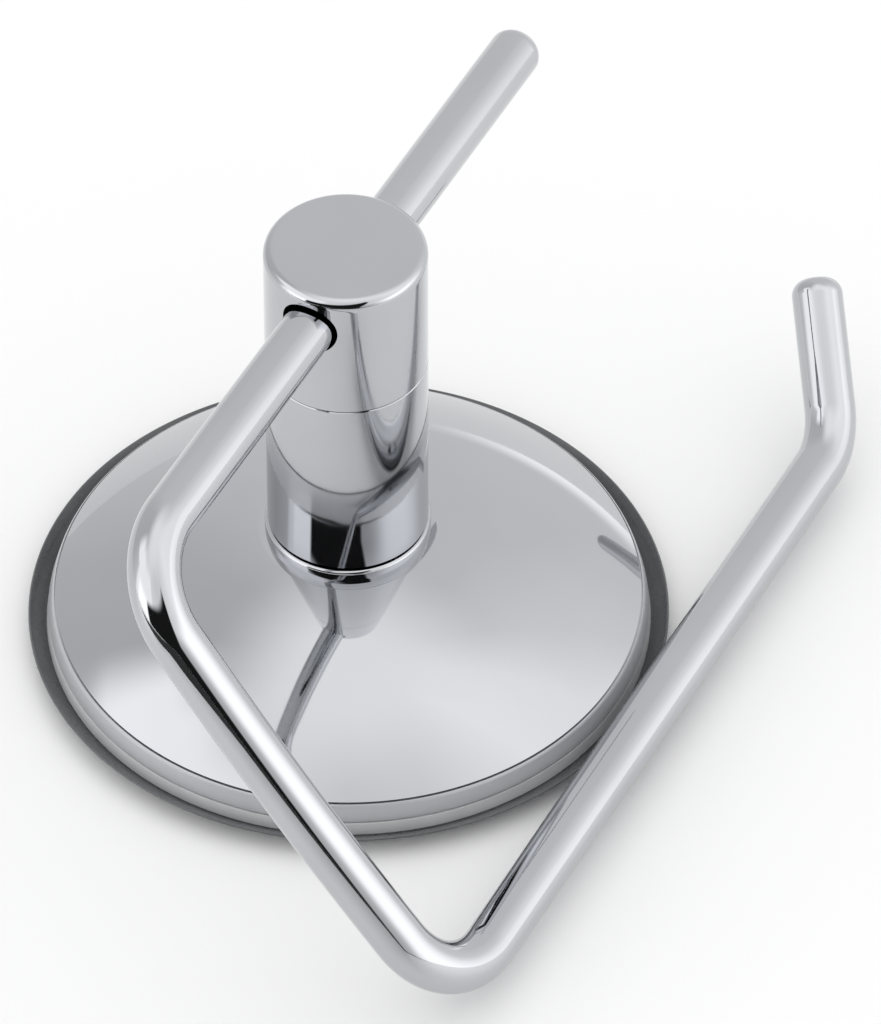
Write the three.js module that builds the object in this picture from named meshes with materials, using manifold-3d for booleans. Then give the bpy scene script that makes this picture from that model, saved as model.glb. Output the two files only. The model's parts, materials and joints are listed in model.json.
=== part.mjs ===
// Suction-mounted toilet roll holder: a soft pad under a polished dome, a twist-lock post
// and a bent wire arm that turns in a cross hole through the head of the post.
// Millimetres. The origin is the centre of the pad's flat underside, +Z runs out along the post,
// and +X follows the arm's pivot bar towards its free end.

import * as THREE from 'three';
import { mergeVertices } from 'three/addons/utils/BufferGeometryUtils.js';
import Module from 'manifold-3d';

const wasm = await Module();
wasm.setup();

// Clearances between neighbouring pieces
const seatGap = 0.3;
const slideGap = 0.15;
const pressGap = 0.05;

// Suction pad
const padDiameter = 80;
const padThickness = 1.2;
const padCentreThickness = 2.2;
const padFootInset = 2.7;
const padLipOverhang = 2.25;
const padLipRise = 1.7;
const padLipRound = 0.25;
const padTaperWidth = 5;
const padSocketWall = 1.8;

// Pad stud, a square-necked bolt whose flange lies on the pad
const flangeDiameter = 22;
const flangeThickness = 1.5;
const neckWidth = 8;
const studDiameter = 8;
const studStandout = 1;
const studChamfer = 0.8;
const lockLift = 3;

// Dome cover
const domeRimInset = 0.2;
const domeRimWidth = 0.85;
const domeRimHeight = 2.46;
const domeRimRound = 0.3;
const domeShoulder = 0.3;
const domeSphereRadius = 60.2;
const domeWall = 1;
const domeLandWidth = 0.5;

// Base cup, the ribbed moulding that backs the dome and shows as a band below its rim
const cupWall = 1.6;
const cupBandHeight = 1.75;
const cupBandTaper = 0.3;
const cupRingInset = 0.9;
const cupRingWidth = 3.2;
const cupHubDiameter = 17.6;
const ribCount = 8;
const ribThickness = 1.6;

// Collar ring and thrust washer at the foot of the post
const collarDiameter = 20.6;
const collarHeight = 2;
const collarEdgeRound = 0.5;
const collarSpigotDiameter = 12;
const thrustWasherWall = 3.6;
const thrustWasherThickness = 0.4;

// Locking barrel, the lower part of the post
const postDiameter = 20;
const barrelLength = 26.8;
const barrelBoreDiameter = 16;
const barrelFootThickness = 3;
const postEdgeChamfer = 0.25;

// Clamp nut inside the barrel
const nutAcrossFlats = 13;
const nutHeight = 6.5;

// Swivel between barrel and head
const plugThickness = 6;
const plugRecess = 0.5;
const swivelWasherThickness = 0.8;
const swivelWasherInset = 0.5;
const screwDiameter = 5;
const screwHeadDiameter = 8.5;
const screwHeadHeight = 3;
const screwGripInHead = 6.2;
const screwTipGap = 0.8;
const screwSocketAcrossFlats = 4;
const screwSocketDepth = 1.8;
const springWasherThickness = 1;
const springWasherWall = 1.6;
const springWasherSplit = 0.8;

// Head, the upper part of the post
const headLength = 18.2;
const headTopRound = 1.25;
const crossHoleDiameter = 7.4;
const crossHoleHeight = 13;

// Arm, one wire bent in one plane
const rodDiameter = 6.5;
const rodBendRadius = 11;
const rodEndRound = 2.2;
const rodEndSteps = 3;
const pivotBarFreeEnd = 48;
const pivotBarBentEnd = 56;
const armReach = 69;
const rollBarLength = 107;
const tipLength = 22;
const tipAngle = 48;

// Facets round a full turn
const broadFacets = 48;
const postFacets = 48;
const smallFacets = 24;
const rodFacets = 20;
const arcSteps = 3;
const bendSteps = 8;

// Radii of the base and levels along the post
const padTop = padThickness;
const padRadius = padDiameter / 2;
const lipTop = padTop + padLipRise;
const cupBandRadius = padRadius - padLipOverhang;
const cupBandTop = padTop + cupBandHeight;
const domeRimLevel = cupBandTop + slideGap;
const domeRimRadius = cupBandRadius - domeRimInset;
const domeRimInnerRadius = domeRimRadius - domeWall;
const domeEdgeRadius = domeRimRadius - domeRimWidth;
const domeEdgeLevel = domeRimLevel + domeRimHeight;
const domeCentreLevel = domeEdgeLevel - Math.sqrt(domeSphereRadius ** 2 - domeEdgeRadius ** 2);
const cupRingOuter = domeRimInnerRadius - cupRingInset;
const cupRingInner = cupRingOuter - cupRingWidth;
const domeLandRadius = collarDiameter / 2 + domeLandWidth;
const collarBottom = sphereLevel(domeSphereRadius, domeLandRadius);
const spigotBottom = collarBottom - domeWall + slideGap;
const collarTop = collarBottom + collarHeight;
const barrelBottom = collarTop + thrustWasherThickness;
const barrelTop = barrelBottom + barrelLength;
const nutBottom = barrelBottom + barrelFootThickness;
const plugTop = barrelTop - plugRecess;
const plugBottom = plugTop - plugThickness;
const headBottom = plugTop + swivelWasherThickness;
const headTop = headBottom + headLength;
const crossHoleLevel = headBottom + crossHoleHeight;
const rodRadius = rodDiameter / 2;
const rodLevel = crossHoleLevel - (crossHoleDiameter / 2 - rodRadius - seatGap);
const socketInnerRadius = flangeDiameter / 2 + slideGap;
const socketOuterRadius = socketInnerRadius + padSocketWall;
const flangeBottom = padCentreThickness;
const flangeTop = flangeBottom + flangeThickness;
const hubBottom = flangeTop + lockLift + seatGap;
const neckTop = spigotBottom - seatGap - lockLift;
const nutTop = nutBottom + nutHeight;
const stemClearance = slideGap + pressGap;

// Height of a sphere that shares the dome's centre, at a given distance from the axis
function sphereLevel(radius, distance) {
  return domeCentreLevel + Math.sqrt(radius ** 2 - distance ** 2);
}

// Closed geometry from a three.js geometry: shared corners merged and flat triangles dropped
function weld(geometry) {
  const bare = geometry.clone();
  bare.deleteAttribute('normal');
  bare.deleteAttribute('uv');
  const merged = mergeVertices(bare, 1e-4);
  const corners = merged.index.array;
  const kept = [];
  for (let i = 0; i < corners.length; i += 3) {
    const [a, b, c] = corners.slice(i, i + 3);
    if (a !== b && b !== c && c !== a) kept.push(a, b, c);
  }
  merged.setIndex(kept);
  return merged;
}

// Solid for cutting and joining
function solid(geometry) {
  const closed = weld(geometry);
  return new wasm.Manifold(new wasm.Mesh({
    numProp: 3,
    vertProperties: new Float32Array(closed.attributes.position.array),
    triVerts: new Uint32Array(closed.index.array),
  }));
}

// Geometry of a finished solid
function geometryOf(body) {
  const mesh = body.getMesh();
  const geometry = new THREE.BufferGeometry();
  geometry.setAttribute('position', new THREE.BufferAttribute(new Float32Array(mesh.vertProperties), 3));
  geometry.setIndex(new THREE.BufferAttribute(new Uint32Array(mesh.triVerts), 1));
  geometry.computeVertexNormals();
  return geometry;
}

// Revolve of a profile drawn as radius and height about +Z
function revolve(profile, facets) {
  const points = profile.getPoints(arcSteps);
  const outline = points.filter((point, i) => i === 0 || point.distanceTo(points[i - 1]) > 1e-6);
  const onAxis = outline[0].x === 0 && outline[outline.length - 1].x === 0;
  if (!onAxis && outline[0].distanceTo(outline[outline.length - 1]) > 1e-6) outline.push(outline[0].clone());
  if (THREE.ShapeUtils.area(outline) < 0) outline.reverse();
  const geometry = new THREE.LatheGeometry(outline, facets);
  geometry.rotateX(Math.PI / 2);
  return geometry;
}

// Plain ring of rectangular section
function ring(innerRadius, outerRadius, bottom, top, facets) {
  const profile = new THREE.Path();
  profile.moveTo(innerRadius, bottom);
  profile.lineTo(outerRadius, bottom);
  profile.lineTo(outerRadius, top);
  profile.lineTo(innerRadius, top);
  return revolve(profile, facets);
}

// Plain disc on the axis
function disc(radius, bottom, top, facets) {
  const profile = new THREE.Path();
  profile.moveTo(0, bottom);
  profile.lineTo(radius, bottom);
  profile.lineTo(radius, top);
  profile.lineTo(0, top);
  return revolve(profile, facets);
}

// Upright prism of a regular polygon, given the distance across its flats
function prism(sides, acrossFlats, bottom, top) {
  const cornerRadius = acrossFlats / 2 / Math.cos(Math.PI / sides);
  const outline = new THREE.Shape();
  for (let i = 0; i < sides; i += 1) {
    const angle = ((i + 0.5) * 2 * Math.PI) / sides;
    const x = cornerRadius * Math.cos(angle);
    const y = cornerRadius * Math.sin(angle);
    if (i === 0) outline.moveTo(x, y);
    else outline.lineTo(x, y);
  }
  outline.closePath();
  const geometry = new THREE.ExtrudeGeometry(outline, { depth: top - bottom, bevelEnabled: false });
  geometry.translate(0, 0, bottom);
  return geometry;
}

// Arc of a sphere that shares the dome's centre, drawn in the profile between two distances
function sphereArc(profile, radius, fromDistance, toDistance) {
  const fromAngle = Math.acos(fromDistance / radius);
  const toAngle = Math.acos(toDistance / radius);
  profile.absarc(0, domeCentreLevel, radius, fromAngle, toAngle, toAngle < fromAngle);
}

// Soft pad: flat underneath, a lip turned up round the cup, thicker middle with a socket for the stud
function suctionPad() {
  const taperStart = cupRingInner - seatGap;
  const profile = new THREE.Path();
  profile.moveTo(0, 0);
  profile.lineTo(padRadius - padFootInset, 0);
  profile.lineTo(padRadius, lipTop - padLipRound);
  profile.quadraticCurveTo(padRadius, lipTop, padRadius - padLipRound, lipTop);
  profile.lineTo(cupBandRadius + slideGap, padTop);
  profile.lineTo(taperStart, padTop);
  profile.lineTo(taperStart - padTaperWidth, padCentreThickness);
  profile.lineTo(socketOuterRadius, padCentreThickness);
  profile.lineTo(socketOuterRadius, flangeTop);
  profile.lineTo(socketInnerRadius, flangeTop);
  profile.lineTo(socketInnerRadius, padCentreThickness);
  profile.lineTo(0, padCentreThickness);
  return solid(revolve(profile, broadFacets));
}

// Stud: flange on the pad, square neck that slides in the cup, round shank for the nut
function padStud() {
  const shankTop = nutTop + studStandout;
  const radius = studDiameter / 2;
  const shank = new THREE.Path();
  shank.moveTo(0, flangeTop - flangeThickness / 2);
  shank.lineTo(radius, flangeTop - flangeThickness / 2);
  shank.lineTo(radius, shankTop - studChamfer);
  shank.lineTo(radius - studChamfer, shankTop);
  shank.lineTo(0, shankTop);
  return solid(disc(flangeDiameter / 2, flangeBottom, flangeTop, postFacets))
    .add(solid(prism(4, neckWidth, flangeTop - flangeThickness / 2, neckTop)))
    .add(solid(revolve(shank, smallFacets)));
}

// Polished dome: shallow spherical shell with a steep rim and a flat land for the collar
function domeCover() {
  const innerSphere = domeSphereRadius - domeWall;
  const holeRadius = collarSpigotDiameter / 2 + pressGap;
  const landBottom = collarBottom - domeWall;
  const innerLand = Math.sqrt(innerSphere ** 2 - (landBottom - domeCentreLevel) ** 2);
  const edgeSlope = Math.asin(domeEdgeRadius / domeSphereRadius);
  const foot = new THREE.Vector2(domeRimRadius, domeRimLevel);
  const corner = new THREE.Vector2(domeEdgeRadius + domeShoulder * Math.cos(edgeSlope),
    domeEdgeLevel - domeShoulder * Math.sin(edgeSlope));
  const rimLength = foot.distanceTo(corner);
  const rimTop = corner.clone().lerp(foot, domeShoulder / rimLength);
  const rimLow = foot.clone().lerp(corner, domeRimRound / rimLength);
  const profile = new THREE.Path();
  profile.moveTo(domeRimInnerRadius, domeRimLevel);
  profile.lineTo(domeRimRadius - domeRimRound, domeRimLevel);
  profile.quadraticCurveTo(foot.x, foot.y, rimLow.x, rimLow.y);
  profile.lineTo(rimTop.x, rimTop.y);
  profile.quadraticCurveTo(corner.x, corner.y, domeEdgeRadius, domeEdgeLevel);
  sphereArc(profile, domeSphereRadius, domeEdgeRadius, domeLandRadius);
  profile.lineTo(holeRadius, collarBottom);
  profile.lineTo(holeRadius, landBottom);
  profile.lineTo(innerLand, landBottom);
  sphereArc(profile, innerSphere, innerLand, domeRimInnerRadius);
  return solid(revolve(profile, broadFacets));
}

// Ribbed cup under the dome: it carries the dome and presses the pad's edge on the wall with its band
function baseCup() {
  const outerSphere = domeSphereRadius - domeWall - slideGap;
  const innerSphere = outerSphere - cupWall;
  const hubRadius = cupHubDiameter / 2;
  const hubTop = collarBottom - domeWall;
  const hubFlat = Math.sqrt(outerSphere ** 2 - (hubTop - domeCentreLevel) ** 2);
  const profile = new THREE.Path();
  profile.moveTo(0, hubBottom);
  profile.lineTo(hubRadius, hubBottom);
  profile.lineTo(hubRadius, sphereLevel(innerSphere, hubRadius));
  sphereArc(profile, innerSphere, hubRadius, cupRingInner);
  profile.lineTo(cupRingInner, padTop);
  profile.lineTo(cupBandRadius, padTop);
  profile.lineTo(cupBandRadius - cupBandTaper, cupBandTop);
  profile.lineTo(cupRingOuter, cupBandTop);
  profile.lineTo(cupRingOuter, sphereLevel(outerSphere, cupRingOuter));
  sphereArc(profile, outerSphere, cupRingOuter, hubFlat);
  profile.lineTo(0, hubTop);
  let cup = solid(revolve(profile, broadFacets));
  for (let i = 0; i < ribCount; i += 1) cup = cup.add(cupRib(i, innerSphere));
  const neckHole = solid(prism(4, neckWidth + 2 * seatGap, hubBottom - 1, hubTop + 1));
  return cup.subtract(neckHole);
}

// One radial rib of the cup, level over the stud's flange and then tapering to the ring
function cupRib(index, innerSphere) {
  const midSphere = innerSphere + cupWall / 2;
  const rootRadius = cupHubDiameter / 2 - ribThickness / 2;
  const outline = new THREE.Shape();
  outline.moveTo(rootRadius, hubBottom);
  outline.lineTo(socketOuterRadius + seatGap, hubBottom);
  outline.lineTo(cupRingInner, sphereLevel(midSphere, cupRingInner));
  sphereArc(outline, midSphere, cupRingInner, rootRadius);
  outline.closePath();
  const geometry = new THREE.ExtrudeGeometry(outline, {
    depth: ribThickness,
    bevelEnabled: false,
    curveSegments: arcSteps,
  });
  geometry.translate(0, 0, -ribThickness / 2);
  geometry.rotateX(Math.PI / 2);
  geometry.rotateZ(((index + 0.5) * 2 * Math.PI) / ribCount);
  return solid(geometry);
}

// Collar ring: polished seat for the post, with a spigot that centres it in the dome
function collarRing() {
  const radius = collarDiameter / 2;
  const boreRadius = studDiameter / 2 + seatGap;
  const profile = new THREE.Path();
  profile.moveTo(boreRadius, spigotBottom);
  profile.lineTo(collarSpigotDiameter / 2, spigotBottom);
  profile.lineTo(collarSpigotDiameter / 2, collarBottom);
  profile.lineTo(radius, collarBottom);
  profile.lineTo(radius, collarTop - collarEdgeRound);
  profile.quadraticCurveTo(radius, collarTop, radius - collarEdgeRound, collarTop);
  profile.lineTo(boreRadius, collarTop);
  return solid(revolve(profile, postFacets));
}

// Slippery washer that the barrel turns on, set back from the faces of the post
function thrustWasher() {
  const innerRadius = studDiameter / 2 + seatGap;
  return solid(ring(innerRadius, innerRadius + thrustWasherWall, collarTop, barrelBottom, postFacets));
}

// Locking barrel: polished tube with a thick foot and a six-sided pocket that drives the nut
function lockingBarrel() {
  const radius = postDiameter / 2;
  const holeRadius = studDiameter / 2 + seatGap;
  const profile = new THREE.Path();
  profile.moveTo(holeRadius, barrelBottom);
  profile.lineTo(radius - postEdgeChamfer, barrelBottom);
  profile.lineTo(radius, barrelBottom + postEdgeChamfer);
  profile.lineTo(radius, barrelTop - postEdgeChamfer);
  profile.lineTo(radius - postEdgeChamfer, barrelTop);
  profile.lineTo(barrelBoreDiameter / 2, barrelTop);
  profile.lineTo(barrelBoreDiameter / 2, nutTop);
  profile.lineTo(holeRadius, nutTop);
  const pocket = solid(prism(6, nutAcrossFlats + 2 * slideGap, nutBottom, nutTop + 1));
  return solid(revolve(profile, postFacets)).subtract(pocket);
}

// Clamp nut: six-sided, with its corners turned off on the upper face
function clampNut() {
  const cornerRadius = nutAcrossFlats / 2 / Math.cos(Math.PI / 6);
  const cornerDrop = (cornerRadius - nutAcrossFlats / 2) * Math.tan(Math.PI / 6);
  const blank = new THREE.Path();
  blank.moveTo(0, nutBottom);
  blank.lineTo(cornerRadius, nutBottom);
  blank.lineTo(cornerRadius, nutTop - cornerDrop);
  blank.lineTo(nutAcrossFlats / 2, nutTop);
  blank.lineTo(0, nutTop);
  const bore = solid(disc(studDiameter / 2 + slideGap, nutBottom - 1, nutTop + 1, smallFacets));
  return solid(prism(6, nutAcrossFlats, nutBottom, nutTop))
    .intersect(solid(revolve(blank, postFacets)))
    .subtract(bore);
}

// Plug pressed into the top of the barrel, the bearing for the head's screw
function barrelPlug() {
  const outerRadius = barrelBoreDiameter / 2 - pressGap;
  return solid(ring(screwDiameter / 2 + stemClearance, outerRadius, plugBottom, plugTop, postFacets));
}

// Slippery washer that the head turns on
function swivelWasher() {
  const outerRadius = barrelBoreDiameter / 2 - swivelWasherInset;
  return solid(ring(screwDiameter / 2 + stemClearance, outerRadius, plugTop, headBottom, postFacets));
}

// Screw that holds the head down on the plug, driven from inside the barrel
function swivelScrew() {
  const headSeat = plugBottom - springWasherThickness;
  const headEnd = headSeat - screwHeadHeight;
  const tip = headBottom + screwGripInHead;
  const chamfer = screwDiameter / 10;
  const profile = new THREE.Path();
  profile.moveTo(0, headEnd);
  profile.lineTo(screwHeadDiameter / 2, headEnd);
  profile.lineTo(screwHeadDiameter / 2, headSeat);
  profile.lineTo(screwDiameter / 2, headSeat);
  profile.lineTo(screwDiameter / 2, tip - chamfer);
  profile.lineTo(screwDiameter / 2 - chamfer, tip);
  profile.lineTo(0, tip);
  const socket = solid(prism(6, screwSocketAcrossFlats, headEnd - 1, headEnd + screwSocketDepth));
  return solid(revolve(profile, smallFacets)).subtract(socket);
}

// Split spring washer under the screw's head
function springWasher() {
  const innerRadius = screwDiameter / 2 + slideGap;
  const outerRadius = innerRadius + springWasherWall;
  const bottom = plugBottom - springWasherThickness;
  const split = new THREE.BoxGeometry(outerRadius, springWasherSplit, springWasherThickness * 4);
  split.rotateX(Math.PI / 6);
  split.translate(outerRadius, 0, bottom + springWasherThickness / 2);
  return solid(ring(innerRadius, outerRadius, bottom, plugBottom, smallFacets)).subtract(solid(split));
}

// Head of the post: flat rounded top, cross hole for the arm and a blind hole for the screw
function postHead() {
  const radius = postDiameter / 2;
  const profile = new THREE.Path();
  profile.moveTo(0, headBottom);
  profile.lineTo(radius - postEdgeChamfer, headBottom);
  profile.lineTo(radius, headBottom + postEdgeChamfer);
  profile.lineTo(radius, headTop - headTopRound);
  profile.quadraticCurveTo(radius, headTop, radius - headTopRound, headTop);
  profile.lineTo(0, headTop);
  const crossHole = new THREE.CylinderGeometry(crossHoleDiameter / 2, crossHoleDiameter / 2,
    postDiameter + 2, postFacets);
  crossHole.rotateZ(Math.PI / 2);
  crossHole.translate(0, 0, crossHoleLevel);
  const screwHole = disc(screwDiameter / 2 + slideGap, headBottom - 1,
    headBottom + screwGripInHead + screwTipGap, smallFacets);
  return solid(revolve(profile, postFacets)).subtract(solid(crossHole)).subtract(solid(screwHole));
}

// Centre line of a wire: straight runs joined by arcs of one bend radius, with sections close
// together at its two ends for the rounded edges there
class BentWire extends THREE.Curve {
  constructor(corners, bendRadius) {
    super();
    this.stations = [];
    const last = corners.length - 1;
    this.firstTangent = corners[1].clone().sub(corners[0]).normalize();
    this.lastTangent = corners[last].clone().sub(corners[last - 1]).normalize();
    for (let step = 0; step <= rodEndSteps; step += 1) this.addEnd(corners[0], this.firstTangent, step, 1);
    for (let i = 1; i < last; i += 1) this.addBend(corners, i, bendRadius);
    for (let step = rodEndSteps; step >= 0; step -= 1) this.addEnd(corners[last], this.lastTangent, step, -1);
  }

  // Station near an end, at an even step round the quarter circle of its edge
  addEnd(end, tangent, step, inward) {
    const depth = rodEndRound * (1 - Math.cos((step / rodEndSteps) * (Math.PI / 2)));
    this.stations.push({ point: end.clone().addScaledVector(tangent, inward * depth), tangent });
  }

  // Stations round one corner, from the end of one straight run to the start of the next
  addBend(corners, index, bendRadius) {
    const before = corners[index].clone().sub(corners[index - 1]).normalize();
    const after = corners[index + 1].clone().sub(corners[index]).normalize();
    const turn = before.angleTo(after);
    const axis = before.clone().cross(after).normalize();
    const setback = bendRadius * Math.tan(turn / 2);
    const start = corners[index].clone().addScaledVector(before, -setback);
    const centre = start.clone().addScaledVector(axis.clone().cross(before), bendRadius);
    const steps = Math.round((bendSteps * turn) / (Math.PI / 2));
    for (let step = 0; step <= steps; step += 1) {
      const angle = (turn * step) / steps;
      const point = start.clone().sub(centre).applyAxisAngle(axis, angle).add(centre);
      this.stations.push({ point, tangent: before.clone().applyAxisAngle(axis, angle) });
    }
  }

  stationAt(t) {
    return this.stations[Math.round(t * (this.stations.length - 1))];
  }

  getPoint(t, target = new THREE.Vector3()) {
    return target.copy(this.stationAt(t).point);
  }

  getTangent(t, target = new THREE.Vector3()) {
    return target.copy(this.stationAt(t).tangent);
  }

  getUtoTmapping(u) {
    return u;
  }
}

// Draws in the tube's sections near one end, so that the wire ends in a rounded edge
function roundRodEnd(tube, end, outward) {
  const positions = tube.attributes.position;
  const point = new THREE.Vector3();
  for (let i = 0; i < positions.count; i += 1) {
    point.fromBufferAttribute(positions, i);
    const depth = end.clone().sub(point).dot(outward);
    const centre = end.clone().addScaledVector(outward, -depth);
    const spread = point.clone().sub(centre);
    if (depth > rodEndRound || spread.length() > rodDiameter) continue;
    const inset = Math.max(0, rodEndRound - depth);
    const drawn = rodRadius - rodEndRound + Math.sqrt(rodEndRound ** 2 - Math.min(inset, rodEndRound) ** 2);
    point.copy(centre).addScaledVector(spread, drawn / rodRadius);
    positions.setXYZ(i, point.x, point.y, point.z);
  }
}

// Arm: pivot bar, two square bends round the roll, and a tip turned back to keep the roll on
function armRod() {
  const tip = THREE.MathUtils.degToRad(tipAngle);
  const tipDirection = new THREE.Vector3(Math.cos(tip), Math.sin(tip), 0);
  const freeEnd = new THREE.Vector3(pivotBarFreeEnd, 0, 0);
  const firstBend = new THREE.Vector3(-pivotBarBentEnd, 0, 0);
  const secondBend = new THREE.Vector3(-pivotBarBentEnd, -armReach, 0);
  const thirdBend = new THREE.Vector3(rollBarLength - pivotBarBentEnd, -armReach, 0);
  const tipEnd = thirdBend.clone().addScaledVector(tipDirection, tipLength);
  const wire = new BentWire([freeEnd, firstBend, secondBend, thirdBend, tipEnd], rodBendRadius);
  const section = new THREE.Shape();
  section.absarc(0, 0, rodRadius, 0, 2 * Math.PI, false);
  const tube = new THREE.ExtrudeGeometry(section, {
    steps: wire.stations.length - 1,
    extrudePath: wire,
    curveSegments: rodFacets / 2,
    bevelEnabled: false,
  });
  roundRodEnd(tube, freeEnd, wire.firstTangent.clone().negate());
  roundRodEnd(tube, tipEnd, wire.lastTangent);
  return solid(tube);
}

// Whether the roll bar keeps clear of the base when the arm hangs at an angle below the horizontal
function rollBarClears(angle) {
  const reach = armReach * Math.cos(angle);
  const level = rodLevel - armReach * Math.sin(angle);
  const room = rodRadius + seatGap;
  const lipLevel = lipTop - padLipRound;
  const toLip = Math.hypot(Math.max(0, reach - (padRadius - padLipRound)), level - lipLevel) - padLipRound;
  const toRim = Math.hypot(Math.max(0, reach - domeRimRadius), Math.max(0, level - domeEdgeLevel));
  const toDome = Math.hypot(reach, level - domeCentreLevel) - domeSphereRadius;
  return level > rodRadius && Math.min(toLip, toRim, toDome) > room;
}

// Angle below the horizontal at which the lowered roll bar comes to rest beside the pad's lip
function armRestAngle() {
  let clear = 0;
  let blocked = Math.PI / 2;
  while (blocked - clear > 1e-7) {
    const middle = (clear + blocked) / 2;
    if (rollBarClears(middle)) clear = middle;
    else blocked = middle;
  }
  return clear;
}

// Finishes
const finishes = {
  chrome: { color: 0xc9cacc, roughness: 0.06, metalness: 1 },
  padPvc: { color: 0x3a3b3d, roughness: 0.35, metalness: 0 },
  nylon: { color: 0x17181a, roughness: 0.5, metalness: 0 },
  moulding: { color: 0xb9bbbd, roughness: 0.45, metalness: 0 },
  brass: { color: 0xb08d4a, roughness: 0.3, metalness: 1 },
  steel: { color: 0x8f9194, roughness: 0.35, metalness: 1 },
};

// Named mesh with its own material
function piece(name, body, finish) {
  const mesh = new THREE.Mesh(geometryOf(body), new THREE.MeshStandardMaterial(finishes[finish]));
  mesh.name = name;
  return mesh;
}

const holder = new THREE.Group();
holder.add(
  piece('suction_pad', suctionPad(), 'padPvc'),
  piece('pad_stud', padStud(), 'steel'),
  piece('base_cup', baseCup(), 'moulding'),
  piece('dome_cover', domeCover(), 'chrome'),
  piece('collar_ring', collarRing(), 'chrome'),
  piece('thrust_washer', thrustWasher(), 'nylon'),
  piece('locking_barrel', lockingBarrel(), 'chrome'),
  piece('clamp_nut', clampNut(), 'brass'),
  piece('barrel_plug', barrelPlug(), 'moulding'),
  piece('swivel_washer', swivelWasher(), 'nylon'),
  piece('swivel_screw', swivelScrew(), 'steel'),
  piece('spring_washer', springWasher(), 'steel'),
  piece('post_head', postHead(), 'chrome'),
);

const arm = new THREE.Group();
arm.position.set(0, 0, rodLevel);
arm.rotation.x = armRestAngle();
arm.add(piece('arm_rod', armRod(), 'chrome'));
holder.add(arm);

export default holder;
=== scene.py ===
"""Looks of a suction-mounted toilet roll holder: a polished dome on a dark soft pad, a twist-lock
post and a bent wire arm. Metres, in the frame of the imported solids: the origin is the centre of the
pad's underside, +Z runs out along the post and +X follows the arm's pivot bar to its free end."""

import json
import math

import bmesh
import bpy
from mathutils import Matrix, Vector


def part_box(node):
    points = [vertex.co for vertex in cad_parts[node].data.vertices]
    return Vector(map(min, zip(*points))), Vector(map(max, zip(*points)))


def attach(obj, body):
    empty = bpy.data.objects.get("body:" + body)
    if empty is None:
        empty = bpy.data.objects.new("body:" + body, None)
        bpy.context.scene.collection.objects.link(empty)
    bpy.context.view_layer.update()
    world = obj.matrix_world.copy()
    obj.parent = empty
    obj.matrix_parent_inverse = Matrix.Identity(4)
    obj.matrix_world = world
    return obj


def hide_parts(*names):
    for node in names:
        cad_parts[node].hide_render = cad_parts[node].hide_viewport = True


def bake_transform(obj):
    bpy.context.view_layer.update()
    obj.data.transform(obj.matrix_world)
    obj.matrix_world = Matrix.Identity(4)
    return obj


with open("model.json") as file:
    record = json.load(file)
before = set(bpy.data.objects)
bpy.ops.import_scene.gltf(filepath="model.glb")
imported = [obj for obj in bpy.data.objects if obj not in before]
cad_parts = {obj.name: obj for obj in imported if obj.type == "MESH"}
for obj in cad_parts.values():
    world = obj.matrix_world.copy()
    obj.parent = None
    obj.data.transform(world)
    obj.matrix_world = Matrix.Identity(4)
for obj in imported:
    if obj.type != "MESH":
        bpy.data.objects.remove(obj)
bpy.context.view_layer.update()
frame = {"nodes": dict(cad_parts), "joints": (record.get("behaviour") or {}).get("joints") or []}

MM = 0.001

# Sizes that the frame's boxes give
_, pad_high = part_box("suction_pad")
cup_low, cup_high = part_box("base_cup")
dome_low, dome_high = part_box("dome_cover")
collar_low, collar_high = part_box("collar_ring")
barrel_low, barrel_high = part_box("locking_barrel")
head_low, head_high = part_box("post_head")
nut_low, nut_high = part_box("clamp_nut")
flange_low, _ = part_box("pad_stud")

PAD_RADIUS = pad_high.x
BAND_RADIUS = cup_high.x
POST_RADIUS = head_high.x
COLLAR_RADIUS = collar_high.x
PAD_TOP = cup_low.z
RIM_LEVEL = dome_low.z
LAND_LEVEL = dome_high.z

# Sizes of the pad
PAD_FOOT = PAD_RADIUS - 2.7 * MM
LIP_TOP = PAD_TOP + 1.5 * MM
LIP_ROUND = 0.25 * MM
LIP_ROOT = BAND_RADIUS + 0.15 * MM
LIP_ROOT_ROUND = 0.3 * MM
LIP_ROOT_END = BAND_RADIUS - 0.2 * MM
FOOT_ROUND = 0.6 * MM
SOCKET_FLOOR = flange_low.z
SOCKET_TOP = pad_high.z
SOCKET_INNER = 11.15 * MM
SOCKET_OUTER = 12.95 * MM
PAD_TAPER = (27.15 * MM, 32.15 * MM)
PAD_DISH = 0.35 * MM
PAD_DISH_EDGE = (28 * MM, 32 * MM, 35 * MM)

# Sizes of the dome
DOME_SPHERE = 60.2 * MM
DOME_WALL = 1 * MM
RIM_RADIUS = 37.55 * MM
RIM_WIDTH = 0.85 * MM
RIM_HEIGHT = 2.46 * MM
RIM_ROUND = 0.3 * MM
RIM_SHOULDER = 0.3 * MM
RIM_GROOVE = 0.2 * MM
RIM_GROOVE_DEPTH = 0.3 * MM
LAND_WIDTH = 0.5 * MM
SPIGOT_RADIUS = 6 * MM
SPIGOT_PLAY = 0.05 * MM
EDGE_RADIUS = RIM_RADIUS - RIM_WIDTH
EDGE_LEVEL = RIM_LEVEL + RIM_HEIGHT
DOME_CENTRE = EDGE_LEVEL - math.sqrt(DOME_SPHERE ** 2 - EDGE_RADIUS ** 2)

# Sizes of the cup
BAND_TOP = PAD_TOP + 1.75 * MM
BAND_TAPER = 0.3 * MM
BAND_ROUND = 0.15 * MM
CUP_RING = (32.45 * MM, 35.65 * MM)
CUP_GAP = 0.15 * MM
CUP_SPHERE = DOME_SPHERE - DOME_WALL - CUP_GAP
CUP_WALL = 1.6 * MM
HUB_RADIUS = 8.8 * MM
HUB_BOTTOM = 7 * MM
NECK_HOLE = 4.3 * MM
RIB_COUNT = 8
RIB_THICKNESS = 1.6 * MM
RIB_KNEE = 13.25 * MM

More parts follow.
